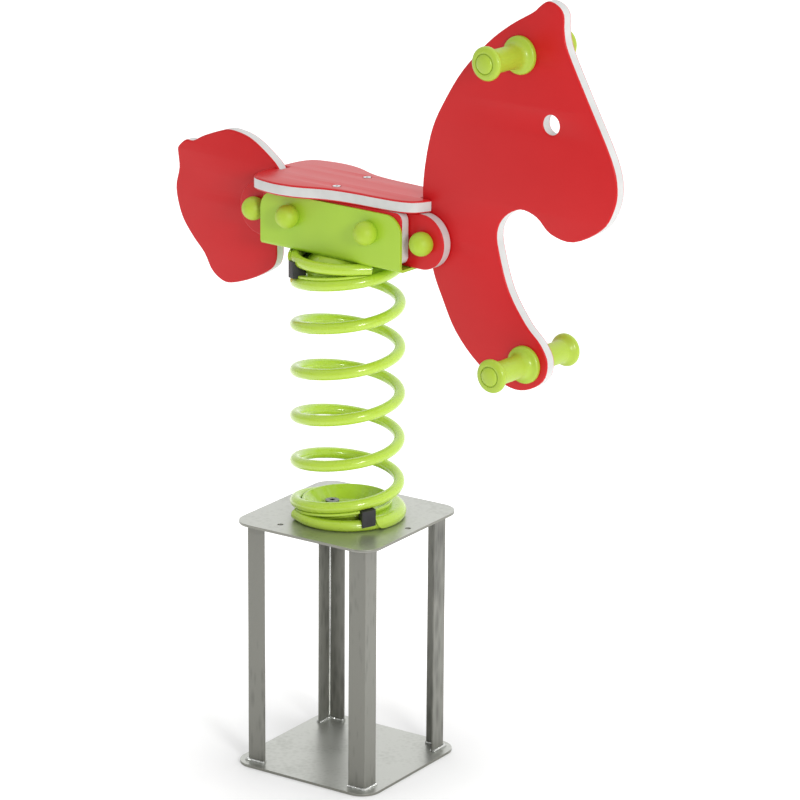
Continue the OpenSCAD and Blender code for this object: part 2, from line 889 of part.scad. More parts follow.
// One bolt along Y, its head outside the right face and its end past the nut on the left face
module panel_bolt(x, z, face) {
    translate([x, -face, z])
        rotate([-90, 0, 0]) {
            cylinder(d = panel_bolt_d, h = 2 * face + panel_nut_h + bolt_end / 2);
            translate([0, 0, -panel_head_h])
                cylinder(d = panel_head_d, h = panel_head_h, $fn = 6);
        }
}

module panel_nut(x, z, face) {
    translate([x, face, z])
        rotate([-90, 0, 0])
            difference() {
                cylinder(d = panel_head_d, h = panel_nut_h, $fn = 6);
                translate([0, 0, -overrun])
                    cylinder(d = panel_bolt_d + bar_clear, h = panel_nut_h + 2 * overrun);
            }
}

// A ball with its flat side on the face, hollow over the bolt end
module dome_cap(x, z, face, side) {
    hollow_h = panel_nut_h + bolt_end / 2 + cap_room;
    translate([x, side * face, z])
        rotate([-90 * side, 0, 0])
            difference() {
                intersection() {
                    translate([0, 0, dome_lift])
                        sphere(d = dome_d, $fn = slice_fn);
                    cylinder(d = dome_d + overrun, h = dome_lift + dome_d);
                }
                translate([0, 0, -overrun])
                    cylinder(d = panel_head_d + 2 * cap_room, h = hollow_h + overrun);
            }
}

module bracket_bolts() {
    on_rider(bright_steel)
        for (end = [-1, 1])
            panel_bolt(end * bracket_bolt_span / 2, bracket_bolt_z, flange_face);
}

module bracket_nuts() {
    on_rider(bright_steel)
        for (end = [-1, 1])
            panel_nut(end * bracket_bolt_span / 2, bracket_bolt_z, flange_face);
}

module beam_bolts() {
    on_rider(bright_steel)
        for (end = [-1, 1])
            panel_bolt(end * beam_bolt_span / 2, beam_z, beam_face);
}

module beam_nuts() {
    on_rider(bright_steel)
        for (end = [-1, 1])
            panel_nut(end * beam_bolt_span / 2, beam_z, beam_face);
}

module bracket_caps() {
    on_rider(lime)
        for (end = [-1, 1], side = [-1, 1])
            dome_cap(end * bracket_bolt_span / 2, bracket_bolt_z, flange_face, side);
}

module beam_caps() {
    on_rider(lime)
        for (end = [-1, 1], side = [-1, 1])
            dome_cap(end * beam_bolt_span / 2, beam_z, beam_face, side);
}

// Handgrips and footrests: a steel bar through the head panel, a moulded grip on each end, and end caps

// Lengths over which a grip's flanges run out into its waist
grip_base_taper = 10;
grip_end_taper = 12;
// Width by which a flange's edges are cut back
flange_edge = 2.5;

module grip(at, side) {
    base_r = grip_base_d / 2;
    waist_r = grip_waist_d / 2;
    end_r = grip_end_d / 2;
    bore_r = (grip_bar_d + bar_clear) / 2;
    end_from = grip_l - grip_end_t;
    on_rider(lime)
        translate([at.x, side * centre_face, at.y])
            rotate([-90 * side, 0, 0])
                rotate_extrude()
                    polygon([
                        [bore_r, 0],
                        [base_r, 0],
                        [base_r, grip_base_t - flange_edge],
                        [base_r - flange_edge, grip_base_t],
                        [(base_r + waist_r) / 2, grip_base_t + flange_edge],
                        [waist_r, grip_base_t + grip_base_taper],
                        [waist_r, end_from - grip_end_taper],
                        [(end_r + waist_r) / 2, end_from - flange_edge],
                        [end_r - flange_edge, end_from],
                        [end_r, end_from + flange_edge],
                        [end_r, grip_l - flange_edge],
                        [end_r - flange_edge, grip_l],
                        [bore_r, grip_l]
                    ]);
}

module grip_bar(at) {
    on_rider(bright_steel)
        cross_bar(grip_bar_d, at.x, at.y, centre_face + grip_l);
}

module end_caps(at) {
    on_rider(lime)
        for (side = [-1, 1])
            translate([at.x, side * (centre_face + grip_l), at.y])
                rotate([-90 * side, 0, 0])
                    ball_slice(grip_cap_d, grip_cap_t);
}

base_plate();
leg(1, -1);  // leg_front_right
leg(1, 1);  // leg_front_left
leg(-1, -1);  // leg_rear_right
leg(-1, 1);  // leg_rear_left
top_plate();
lower_clamp();
lower_clamp_bolts();
lower_clamp_washers();
lower_clamp_nuts();
lower_pinch_block();
spring();
upper_clamp();
upper_clamp_bolts();
upper_clamp_washers();
upper_clamp_nuts();
upper_pinch_block();
bracket();
spacer_panel(-1);  // spacer_panel_right
spacer_panel(1);  // spacer_panel_left
beam_panel(-1);  // beam_panel_right
beam_panel(1);  // beam_panel_left
head_panel();
tail_panel();
seat();
seat_screws();
bracket_bolts();
bracket_nuts();
beam_bolts();
beam_nuts();
bracket_caps();
beam_caps();
grip_bar(handle_at);  // handle_bar
grip(handle_at, -1);  // handgrip_right
grip(handle_at, 1);  // handgrip_left
end_caps(handle_at);  // handle_end_caps
grip_bar(footrest_at);  // footrest_bar
grip(footrest_at, -1);  // footrest_right
grip(footrest_at, 1);  // footrest_left
end_caps(footrest_at);  // footrest_end_caps
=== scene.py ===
import math

import bmesh
import bpy
from mathutils import Matrix, Vector, geometry


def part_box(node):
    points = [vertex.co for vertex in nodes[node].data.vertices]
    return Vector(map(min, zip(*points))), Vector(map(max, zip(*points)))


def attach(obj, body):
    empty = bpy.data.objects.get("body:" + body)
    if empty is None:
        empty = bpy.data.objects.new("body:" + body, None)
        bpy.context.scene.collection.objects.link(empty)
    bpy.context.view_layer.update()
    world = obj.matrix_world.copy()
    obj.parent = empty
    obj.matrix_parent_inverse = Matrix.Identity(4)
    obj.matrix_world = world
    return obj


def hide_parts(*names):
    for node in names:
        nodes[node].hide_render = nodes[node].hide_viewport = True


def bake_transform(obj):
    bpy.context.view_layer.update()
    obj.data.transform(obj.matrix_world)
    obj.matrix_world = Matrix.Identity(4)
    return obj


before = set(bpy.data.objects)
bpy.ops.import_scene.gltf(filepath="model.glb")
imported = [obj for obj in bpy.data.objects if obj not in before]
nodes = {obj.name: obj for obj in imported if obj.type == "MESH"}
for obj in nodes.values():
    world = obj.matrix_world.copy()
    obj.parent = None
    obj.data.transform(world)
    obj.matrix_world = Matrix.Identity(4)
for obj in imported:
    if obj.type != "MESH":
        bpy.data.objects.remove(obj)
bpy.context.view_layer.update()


# Anchor plates: two square steel plates with round corners, laser cut and hot-dip galvanised.
# The base plate lies in the foundation pit and the top plate is level with the ground.
# The zinc sets in dull clouds with a faint spangle; its upright faces, the cut edges and hole walls, are
# painted darker as painted shade.
def new_material(name):
    material = bpy.data.materials.new(name)
    material.use_nodes = True
    tree = material.node_tree
    return material, tree.nodes, tree.links, tree.nodes["Principled BSDF"]


def blend_colours(made, joins, factor, dark, light):
    dark_until, light_from = 0.3, 0.7
    ramp = made.new("ShaderNodeValToRGB")
    stops = ramp.color_ramp.elements
    stops[0].position = dark_until
    stops[1].position = light_from
    stops[0].color = (*dark, 1)
    stops[1].color = (*light, 1)
    joins.new(factor, ramp.inputs["Fac"])
    return ramp.outputs["Color"]


def spread(made, joins, factor, low, high):
    span = made.new("ShaderNodeMapRange")
    span.inputs["To Min"].default_value = low
    span.inputs["To Max"].default_value = high
    joins.new(factor, span.inputs["Value"])
    return span.outputs["Result"]


def noise(made, joins, place, scale, detail=3.0):
    grain = made.new("ShaderNodeTexNoise")
    grain.inputs["Scale"].default_value = scale
    grain.inputs["Detail"].default_value = detail
    joins.new(place, grain.inputs["Vector"])
    return grain.outputs["Fac"]


def raise_grain(made, joins, shader, height, strength, distance):
    bump = made.new("ShaderNodeBump")
    bump.inputs["Strength"].default_value = strength
    bump.inputs["Distance"].default_value = distance
    joins.new(height, bump.inputs["Height"])
    joins.new(bump.outputs["Normal"], shader.inputs["Normal"])


# Painted shade: upright faces are coloured darker than level ones, by the slope of the surface.
def painted_edge_shade(made, joins, colour, shaded_edge):
    facing = made.new("ShaderNodeSeparateXYZ")
    joins.new(made.new("ShaderNodeNewGeometry").outputs["Normal"], facing.inputs["Vector"])
    level = made.new("ShaderNodeMath")
    level.operation = "ABSOLUTE"
    joins.new(facing.outputs["Z"], level.inputs[0])
    face_or_edge = made.new("ShaderNodeMix")
    face_or_edge.data_type = "RGBA"
    face_or_edge.inputs["A"].default_value = (*shaded_edge, 1)
    joins.new(level.outputs["Value"], face_or_edge.inputs["Factor"])
    joins.new(colour, face_or_edge.inputs["B"])
    return face_or_edge.outputs["Result"]


def galvanised(name, dark, light, roughness, streak, metal, shaded_edge=None):
    spangle_scale, spangle_share = 130, 0.35
    material, made, joins, shader = new_material(name)
    place = made.new("ShaderNodeTexCoord").outputs["Object"]
    drawn = made.new("ShaderNodeMapping")
    drawn.inputs["Scale"].default_value = (1, 1, streak)
    joins.new(place, drawn.inputs["Vector"])
    clouds = noise(made, joins, drawn.outputs["Vector"], scale=14, detail=6)
    spangle = made.new("ShaderNodeTexVoronoi")
    spangle.inputs["Scale"].default_value = spangle_scale
    joins.new(drawn.outputs["Vector"], spangle.inputs["Vector"])
    crystals = made.new("ShaderNodeMath")
    crystals.operation = "MULTIPLY_ADD"
    crystals.inputs[1].default_value = spangle_share
    joins.new(spangle.outputs["Distance"], crystals.inputs[0])
    joins.new(clouds, crystals.inputs[2])
    colour = blend_colours(made, joins, crystals.outputs["Value"], dark, light)
    # Painted shade on the upright cut edges and hole walls.
    if shaded_edge:
        colour = painted_edge_shade(made, joins, colour, shaded_edge)
    joins.new(colour, shader.inputs["Base Color"])
    joins.new(spread(made, joins, clouds, *roughness), shader.inputs["Roughness"])
    shader.inputs["Metallic"].default_value = metal
    pits = noise(made, joins, place, scale=420, detail=2)
    raise_grain(made, joins, shader, pits, strength=0.12, distance=0.0004)
    return material


def round_edges(piece, width, steps):
    rounding = piece.modifiers.new("rounding", "BEVEL")
    rounding.width = width
    rounding.segments = steps
    rounding.limit_method = "ANGLE"
    rounding.angle_limit = math.radians(40)
    rounding.harden_normals = True


def dress(node, material, edge=0.0):
    piece = nodes[node]
    piece.data.materials.clear()
    piece.data.materials.append(material)
    if edge:
        weld = piece.modifiers.new("weld", "WELD")
        weld.merge_threshold = 0.00002
        round_edges(piece, edge, steps=2)


plate_zinc = galvanised(
    "plate_zinc", dark=(0.375, 0.385, 0.35), light=(0.505, 0.515, 0.48),
    roughness=(0.28, 0.42), streak=1, metal=0.85, shaded_edge=(0.24, 0.24, 0.21),
)
for plate in ("base_plate", "top_plate"):
    dress(plate, plate_zinc, edge=0.0006)


# Anchor legs: four lengths of angle bar, cut square and welded between the plates.
# Dipped with the plates, but rolled stock comes out darker, with streaks down its length.
leg_zinc = galvanised(
    "leg_zinc", dark=(0.065, 0.065, 0.056), light=(0.205, 0.205, 0.18),
    roughness=(0.32, 0.52), streak=0.22, metal=0.3,
)
for leg in ("leg_front_right", "leg_front_left", "leg_rear_right", "leg_rear_left"):
    dress(leg, leg_zinc, edge=0.0009)


# Leg welds: hand-laid beads inside and outside each angle, where it meets the plates.
# They and a strip filling the hollow root of each angle are made in lighter, shinier zinc than the bars;
# along the root the lighter zinc is a painted highlight.
def skin(mesh, rings):
    for low, high in zip(rings, rings[1:]):
        for j in range(len(low)):
            k = (j + 1) % len(low)
            mesh.faces.new((low[j], low[k], high[k], high[j]))


def closed_skin(mesh, rings):
    skin(mesh, rings)
    mesh.faces.new(list(reversed(rings[0])))
    mesh.faces.new(rings[-1])


def angles_round(sides):
    return [2 * math.pi * j / sides for j in range(sides)]


def direction_at(line, i):
    return (line[min(i + 1, len(line) - 1)] - line[max(i - 1, 0)]).normalized()


def finished(name, mesh, sharp_angle):
    bmesh.ops.recalc_face_normals(mesh, faces=mesh.faces)
    data = bpy.data.meshes.new(name)
    mesh.to_mesh(data)
    mesh.free()
    for face in data.polygons:
        face.use_smooth = True
    data.set_sharp_from_angle(angle=math.radians(sharp_angle))
    piece = bpy.data.objects.new(name, data)
    bpy.context.scene.collection.objects.link(piece)
    return piece


plate_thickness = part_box("base_plate")[1].z
plate_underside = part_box("top_plate")[0].z
anchor_turn = Matrix.Rotation(math.radians(5), 3, "Z")
leg_corner, leg_width, leg_wall = 0.107, 0.030, 0.003
leg_tip = leg_corner - leg_width
root_corner = leg_corner - leg_wall
root_radius, root_steps = 0.0022, 6
bead_radius, bead_step, bead_sides, bead_flatness = 0.0026, 0.0011, 8, 0.85
bead_lift, bead_offset = 0.4 * bead_radius, 0.3 * bead_radius
fine_ripple, fine_rate, slow_ripple, slow_rate = 0.24, 2.1, 0.20, 0.8
corner_lump, lump_reach, end_taper = 0.5, 0.004, 0.35


def lay_bead(mesh, corners):
    line = []
    for start, end in zip(corners, corners[1:]):
        steps = round((end - start).length / bead_step)
        line += [start.lerp(end, i / steps) for i in range(steps)]
    line.append(corners[-1])
    up = Vector((0, 0, 1))
    rings = []
    for i, point in enumerate(line):
        side = direction_at(line, i).cross(up)
        from_corner = (point - corners[1]).length
        swell = 1 + fine_ripple * math.sin(fine_rate * i) + slow_ripple * math.sin(slow_rate * i)
        swell += corner_lump * math.exp(-from_corner / lump_reach)
        size = bead_radius * swell
        if i in (0, len(line) - 1):
            size *= end_taper
        rings.append([
            mesh.verts.new(point + size * (math.cos(a) * side + bead_flatness * math.sin(a) * up))
            for a in angles_round(bead_sides)
        ])
    closed_skin(mesh, rings)


def on_leg(side_x, side_y, outline, height):
    return [anchor_turn @ Vector((side_x * x, side_y * y, height)) for x, y in outline]


# Root strips in each angle's inner corner, lighter than the bar as a painted highlight.
root_outline = [(root_corner, root_corner)]
for step in range(root_steps + 1):
    angle = math.pi / 2 * step / root_steps
    root_outline.append((root_corner - root_radius * (1 - math.cos(angle)),
                         root_corner - root_radius * (1 - math.sin(angle))))
beads = bmesh.new()
for side_x in (-1, 1):
    for side_y in (-1, 1):
        closed_skin(beads, [
            [beads.verts.new(point) for point in on_leg(side_x, side_y, root_outline, height)]
            for height in (plate_thickness, plate_underside)
        ])
        for height in (plate_thickness + bead_lift, plate_underside - bead_lift):
            for corner in (leg_corner + bead_offset, root_corner - bead_offset):
                bead_line = ((leg_tip, corner), (corner, corner), (corner, leg_tip))
                lay_bead(beads, on_leg(side_x, side_y, bead_line, height))
welds = finished("leg_welds", beads, sharp_angle=70)
# Lighter zinc: a painted highlight along each angle's root; on the beads it is simply lighter than the
# bars.
weld_zinc_and_root_highlight = galvanised(
    "weld_zinc_and_root_highlight", dark=(0.36, 0.37, 0.35), light=(0.66, 0.67, 0.65),
    roughness=(0.12, 0.26), streak=1, metal=0.9,
)
welds.data.materials.append(weld_zinc_and_root_highlight)
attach(welds, "anchor")


# Coil spring: round spring-steel wire wound right-handed with closed ends, powder coated lime.
# It is drawn in two halves, which meet at its middle.
def lime_coat(name, dark, light, roughness, coat, peel):
    material, made, joins, shader = new_material(name)
    place = made.new("ShaderNodeTexCoord").outputs["Object"]
    tint = noise(made, joins, place, scale=9, detail=2)
    joins.new(blend_colours(made, joins, tint, dark, light), shader.inputs["Base Color"])
    dulling = noise(made, joins, place, scale=60)
    joins.new(spread(made, joins, dulling, *roughness), shader.inputs["Roughness"])
    shader.inputs["Coat Weight"].default_value = coat
    shader.inputs["Coat Roughness"].default_value = 0.06
    ripples = noise(made, joins, place, scale=260, detail=2)
    raise_grain(made, joins, shader, ripples, strength=peel, distance=0.0006)
    return material


wire_radius, powder_thickness, wire_sides = 0.008, 0.0005, 24
coil_radius, coil_twist, turns = 0.0775, 15, 7.28
flat_turns, lifted_turns, full_turns = 0.62, 0.80, 2.5
lifted_pitch = 0.84
end_run, chamfer_run, chamfer = 2 * wire_radius, 1.85 * wire_radius, 0.0012
half_steps, bend_length = 230, 0.15
spring_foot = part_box("spring")[0].z + wire_radius
spring_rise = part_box("spring")[1].z - wire_radius - spring_foot
middle = spring_foot + spring_rise / 2


def pitch_at(turn):
    if turn <= flat_turns:
        return 0.0
    if turn <= lifted_turns:
        return lifted_pitch * (turn - flat_turns) / (lifted_turns - flat_turns)
    opened = (turn - lifted_turns) / (full_turns - lifted_turns)
    return min(1.0, lifted_pitch + (1 - lifted_pitch) * opened)


def rise_at(turn):
    if turn <= flat_turns:
        return 0.0
    if turn <= lifted_turns:
        return (turn - flat_turns) * pitch_at(turn) / 2
    if turn <= full_turns:
        return rise_at(lifted_turns) + (turn - lifted_turns) * (lifted_pitch + pitch_at(turn)) / 2
    return rise_at(full_turns) + turn - full_turns


def wire_height(turn):
    return spring_foot + spring_rise * rise_at(turn) / (2 * rise_at(turns / 2))


def wire_side(turn):
    angle = math.radians(90 + coil_twist + 360 * (turn - turns / 2))
    return Vector((math.cos(angle), math.sin(angle), 0))


def wire_point(turn):
    return coil_radius * wire_side(turn) + Vector((0, 0, wire_height(turn)))


def wire_tube(name, line, cut_end):
    mesh = bmesh.new()
    rings = []
    for i, point in enumerate(line):
        along = direction_at(line, i)
        out = Vector((point.x, point.y, 0)).normalized()
        out = (out - along * out.dot(along)).normalized()
        side = along.cross(out)
        size = wire_radius - chamfer if i == cut_end else wire_radius + powder_thickness
        rings.append([
            mesh.verts.new(point + size * (math.cos(a) * out + math.sin(a) * side))
            for a in angles_round(wire_sides)
        ])
    closed_skin(mesh, rings)
    return finished(name, mesh, sharp_angle=50)


first_turn = end_run / (2 * math.pi * coil_radius)
half_turns = turns / 2 - first_turn
wound = [wire_point(first_turn + half_turns * i / half_steps) for i in range(half_steps + 1)]
run_out = (wound[0] - wound[1]).normalized()
lower_line = [wound[0] + run_out * end_run, wound[0] + run_out * chamfer_run] + wound
turned_over = (
    Matrix.Translation((0, 0, middle))
    @ Matrix.Rotation(math.pi, 4, wire_side(turns / 2))
    @ Matrix.Translation((0, 0, -middle))
)
upper_line = [turned_over @ point for point in reversed(lower_line)]
spring_lower = wire_tube("spring_lower", lower_line, cut_end=0)
spring_upper = wire_tube("spring_upper", upper_line, cut_end=len(upper_line) - 1)
gloss_lime = lime_coat(
    "gloss_lime", dark=(0.425, 0.62, 0.038), light=(0.45, 0.645, 0.044),
    roughness=(0.26, 0.29), coat=0.55, peel=0.004,
)
for piece in (spring_lower, spring_upper):
    piece.data.materials.append(gloss_lime)
    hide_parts("spring")
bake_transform(spring_lower)
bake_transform(spring_upper)


# Spring clamps: cast bowls that sit inside the end turns, powder coated like the spring.
# A claw holds the flat end of the wire down, and a lip carries the next turn.
bowl_profile = [
    (0.0, 0.0004), (0.0, 0.0490), (0.0005, 0.0500), (0.0020, 0.0515), (0.0212, 0.0669),
    (0.0225, 0.0677), (0.0240, 0.0680), (0.0258, 0.0680), (0.0267, 0.0676), (0.0270, 0.0668),
    (0.0270, 0.0650), (0.0266, 0.0641), (0.0256, 0.0634), (0.0120, 0.0487), (0.0103, 0.0466),
    (0.0093, 0.0440), (0.0090, 0.0410), (0.0090, 0.0004),
]
bowl_sides, bowl_foot = 96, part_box("lower_clamp")[0].z
claw_first, claw_last, claw_runs = 0.292, 0.62, 48
claw_root, claw_under, claw_over, claw_edge = 0.0617, 0.0084, 0.0115, 0.0006
claw_drape, claw_steps, claw_tip, claw_straight = 130, 16, 0.032, 0.4
lip_first, lip_last, lip_runs = 1.005, 1.245, 30
lip_inner, lip_root, lip_edge, lip_round = 0.0640, 0.0671, 0.0825, 0.001
lip_top, lip_thick, skirt_depth, lip_gap = -0.0084, 0.0042, 0.012, 0.001
lip_clear = spring_foot + wire_radius + lip_gap


def revolve(mesh, profile, sides, relief=lambda along, angle: 0):
    rings = []
    for along, radius in profile:
        ring = []
        for angle in angles_round(sides):
            out = radius + relief(along, angle)
            ring.append(mesh.verts.new((out * math.cos(angle), out * math.sin(angle), along)))
        rings.append(ring)
    closed_skin(mesh, rings)


def sweep_ribbon(mesh, first, last, section, runs, clear_from=0.0, clear_level=0.0):
    rings = []
    for i in range(runs + 1):
        ring = []
        for radius, height, late in section:
            turn = first + late + (last - first - late) * i / runs
            level = wire_height(turn) + height
            if radius > clear_from:
                level = max(level, clear_level)
            ring.append(mesh.verts.new(radius * wire_side(turn) + Vector((0, 0, level))))
        rings.append(ring)
    skin(mesh, rings)
    far = len(section) - 1
    for ring in (rings[0], rings[-1]):
        for j in range(far // 2):
            mesh.faces.new((ring[j], ring[j + 1], ring[far - j - 1], ring[far - j]))


def claw_point(step, radius):
    down = min(1.0, max(0.0, step / claw_steps - claw_straight) / (1 - claw_straight))
    angle = math.radians(90 - claw_drape * step / claw_steps)
    late = claw_tip * (1 - math.sqrt(1 - down * down))
    return coil_radius + radius * math.cos(angle), radius * math.sin(angle), late


claw_end = claw_steps + 0.5
claw_section = [(claw_root, claw_over, 0.0)]
claw_section += [claw_point(step, claw_over) for step in range(claw_steps + 1)]
claw_section.append(claw_point(claw_end, claw_over - claw_edge))
claw_section.append(claw_point(claw_end, claw_under + claw_edge))
claw_section += [claw_point(step, claw_under) for step in range(claw_steps, -1, -1)]
claw_section.append((claw_root, claw_under, 0.0))
lip_under, skirt_end = lip_top - lip_thick, lip_top - skirt_depth
lip_section = [(radius, height, 0.0) for radius, height in (
    (lip_inner, skirt_end), (lip_inner, lip_top),
    (lip_edge - lip_round, lip_top), (lip_edge, lip_top - lip_round),
    (lip_edge, lip_under + lip_round), (lip_edge - lip_round, lip_under),
    (lip_root, lip_under), (lip_root, skirt_end),
)]
for node, body in (("lower_clamp", "anchor"), ("upper_clamp", "rider")):
    casting = bmesh.new()
    revolve(casting, bowl_profile, bowl_sides)
    bmesh.ops.translate(casting, verts=casting.verts, vec=(0, 0, bowl_foot))
    sweep_ribbon(casting, claw_first, claw_last, claw_section, claw_runs)
    sweep_ribbon(casting, lip_first, lip_last, lip_section, lip_runs, lip_root, lip_clear)
    if node == "upper_clamp":
        bmesh.ops.transform(casting, verts=casting.verts, matrix=turned_over)
    piece = finished(node + "_casting", casting, sharp_angle=40)
    piece.data.materials.append(gloss_lime)
    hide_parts(node)
    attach(piece, body)


# Clamp bolts, washers and nuts: zinc-plated steel, through the clamp's floor and the sheet behind it.
# Their bright zinc picks up fine scratches from the wrench.
def bright_zinc(name, dark, light):
    material, made, joins, shader = new_material(name)
    place = made.new("ShaderNodeTexCoord").outputs["Object"]
    wear = noise(made, joins, place, scale=180, detail=4)
    joins.new(blend_colours(made, joins, wear, dark, light), shader.inputs["Base Color"])
    joins.new(spread(made, joins, wear, low=0.18, high=0.38), shader.inputs["Roughness"])
    shader.inputs["Metallic"].default_value = 1.0
    return material


clamp_zinc = bright_zinc("clamp_zinc", dark=(0.10, 0.11, 0.11), light=(0.24, 0.25, 0.25))
for fastener in ("clamp_bolts", "clamp_washers", "clamp_nuts"):
    dress("lower_" + fastener, clamp_zinc)
    dress("upper_" + fastener, clamp_zinc)


# Pinch blocks: black rubber wedges between the first two turns, so that no finger fits there.
# Moulded and pushed in before the spring is tightened down.
def moulded_rubber(name, dark, light):
    material, made, joins, shader = new_material(name)
    place = made.new("ShaderNodeTexCoord").outputs["Object"]
    bloom = noise(made, joins, place, scale=50, detail=5)
    joins.new(blend_colours(made, joins, bloom, dark, light), shader.inputs["Base Color"])
    shader.inputs["Roughness"].default_value = 0.62
    grain = noise(made, joins, place, scale=700, detail=2)
    raise_grain(made, joins, shader, grain, strength=0.2, distance=0.0003)
    return material


block_rubber = moulded_rubber("block_rubber", dark=(0.018, 0.018, 0.019), light=(0.034, 0.034, 0.036))
for block in ("lower_pinch_block", "upper_pinch_block"):
    dress(block, block_rubber, edge=0.0012)


# Bracket: one folded steel sheet, its web on the upper clamp and a flange up each side of the panels.
# Powder coated lime, a little less glossy than the spring.
sheet_thickness, bend_radius, flange_corner = 0.004, 0.003, 0.028
corner_steps, bend_steps = 12, 8
bracket_low, bracket_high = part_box("bracket")
half_length = (bracket_high.x - bracket_low.x) / 2
half_width = (bracket_high.y - bracket_low.y) / 2
flange_top = bracket_high.z - bracket_low.z
outer_bend = bend_radius + sheet_thickness


def bend_point(radius, angle):
    return half_width - outer_bend + radius * math.cos(angle), outer_bend - radius * math.sin(angle)


half_rows = []
for step in range(corner_steps + 1):
    angle = math.pi / 2 * step / corner_steps
    reach = half_length - flange_corner + flange_corner * math.sin(angle)
    height = flange_top - flange_corner + flange_corner * math.cos(angle)
    half_rows.append((reach, (half_width, height), (half_width - sheet_thickness, height)))
for step in range(bend_steps + 1):
    angle = math.pi / 2 * step / bend_steps
    half_rows.append((half_length, bend_point(outer_bend, angle), bend_point(bend_radius, angle)))
folded = bmesh.new()
rows = []
for side, half in ((1, half_rows), (-1, list(reversed(half_rows)))):
    for reach, outer, inner in half:
        row_corners = ((-reach, outer), (reach, outer), (reach, inner), (-reach, inner))
        rows.append([folded.verts.new((x, side * y, z)) for x, (y, z) in row_corners])
closed_skin(folded, rows)
bracket_sheet = finished("bracket_sheet", folded, sharp_angle=40)
bracket_sheet.location = ((bracket_low.x + bracket_high.x) / 2, 0, bracket_low.z)
round_edges(bracket_sheet, width=0.0009, steps=3)
satin_lime = lime_coat(
    "satin_lime", dark=(0.34, 0.55, 0.022), light=(0.38, 0.59, 0.028),
    roughness=(0.38, 0.46), coat=0.1, peel=0.03,
)
bracket_sheet.data.materials.append(satin_lime)
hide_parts("bracket")
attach(bracket_sheet, "rider")


# Panels: sheet with red skins on a white core, routed to shape with rounded edges.
# They stand in five layers: a spacer and a beam on each side, with the head and tail in the middle.
# The cut edge shows the white core between the skins.
panel_thickness, skin_depth, routed_edge, edge_steps = 0.019, 0.0025, 0.0025, 4


def panel_sheet(name, gloss):
    material, made, joins, shader = new_material(name)
    place = made.new("ShaderNodeTexCoord").outputs["Object"]
    parts = made.new("ShaderNodeSeparateXYZ")
    joins.new(place, parts.inputs["Vector"])
    depth = made.new("ShaderNodeMath")
    depth.operation = "ABSOLUTE"
    joins.new(parts.outputs["Z"], depth.inputs[0])
    in_skin = made.new("ShaderNodeMath")
    in_skin.operation = "GREATER_THAN"
    in_skin.inputs[1].default_value = panel_thickness / 2 - skin_depth
    joins.new(depth.outputs["Value"], in_skin.inputs[0])
    clouds = noise(made, joins, place, scale=5, detail=3)
    red = blend_colours(made, joins, clouds, dark=(0.54, 0.008, 0.010), light=(0.58, 0.011, 0.014))
    specks = noise(made, joins, place, scale=40, detail=4)
    white = blend_colours(made, joins, specks, dark=(0.56, 0.56, 0.55), light=(0.62, 0.62, 0.61))
    colour = made.new("ShaderNodeMix")
    colour.data_type = "RGBA"
    joins.new(in_skin.outputs["Value"], colour.inputs["Factor"])
    joins.new(white, colour.inputs["A"])
    joins.new(red, colour.inputs["B"])
    joins.new(colour.outputs["Result"], shader.inputs["Base Color"])
    dulling = noise(made, joins, place, scale=30, detail=4)
    joins.new(spread(made, joins, dulling, low=0.33, high=0.35), shader.inputs["Roughness"])
    shader.inputs["Specular IOR Level"].default_value = gloss
    grain = noise(made, joins, place, scale=900, detail=2)
    raise_grain(made, joins, shader, grain, strength=0.10, distance=0.0004)
    return material


def face_loops(node, axis):
    digits, square, level_gap = 5, 0.99, 0.0001
    data = nodes[node].data
    face_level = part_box(node)[1][axis]
    spots = [tuple(round(c, digits) for c in v.co) for v in data.vertices]
    steps = set()
    for face in data.polygons:
        if face.normal[axis] > square and abs(face.center[axis] - face_level) < level_gap:
            ring = [spots[i] for i in face.vertices]
            steps |= set(zip(ring, ring[1:] + ring[:1]))
    onward = {a: b for a, b in steps if (b, a) not in steps}
    loops = []
    while onward:
        loop = [min(onward)]
        while loop[-1] in onward:
            loop.append(onward.pop(loop[-1]))
        loops.append(loop[:-1])
    return loops


def drawn_in(loop, inset):
    least_lean = 0.5
    moved = []
    for i, point in enumerate(loop):
        before = (point - loop[i - 1]).normalized()
        after = (loop[(i + 1) % len(loop)] - point).normalized()
        turn = (Vector((-before.y, before.x)) + Vector((-after.y, after.x))).normalized()
        lean = max(least_lean, turn.dot(Vector((-before.y, before.x))))
        moved.append(point + turn * (inset / lean))
    return moved


def sheet_piece(node, axis):
    across, up = [i for i in range(3) if i != axis]
    low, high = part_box(node)
    centre = (low + high) / 2
    half = (high[axis] - low[axis]) / 2
    loops = []
    for ring in face_loops(node, axis):
        flat = [Vector((p[across] - centre[across], p[up] - centre[up])) for p in ring]
        loops.append(flat if axis == 2 else list(reversed(flat)))
    section = []
    for step in range(edge_steps + 1):
        angle = math.pi / 2 * step / edge_steps
        section.append((routed_edge * (1 - math.sin(angle)), half - routed_edge * (1 - math.cos(angle))))
    section += [(inset, -height) for inset, height in reversed(section)]
    mesh = bmesh.new()
    top, bottom = [], []
    for loop in loops:
        rings = [
            [mesh.verts.new((p.x, p.y, height)) for p in drawn_in(loop, inset)]
            for inset, height in section
        ]
        skin(mesh, rings)
        top.append(rings[0])
        bottom.append(rings[-1])
    for face in (top, bottom):
        flat = [[v.co.copy() for v in ring] for ring in face]
        corners = [v for ring in face for v in ring]
        for triangle in geometry.tessellate_polygon(flat):
            mesh.faces.new([corners[i] for i in triangle])
    piece = finished(node + "_sheet", mesh, sharp_angle=35)
    turn = Matrix.Identity(4) if axis == 2 else Matrix.Rotation(math.radians(90), 4, "X")
    piece.matrix_world = Matrix.Translation(centre) @ turn
    return piece


red_sheet = panel_sheet("red_sheet", gloss=0.26)
for panel in (
    "spacer_panel_right", "spacer_panel_left", "beam_panel_right", "beam_panel_left",
    "head_panel", "tail_panel",
):
    piece = sheet_piece(panel, axis=1)
    piece.data.materials.append(red_sheet)
    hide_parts(panel)
    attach(piece, "rider")


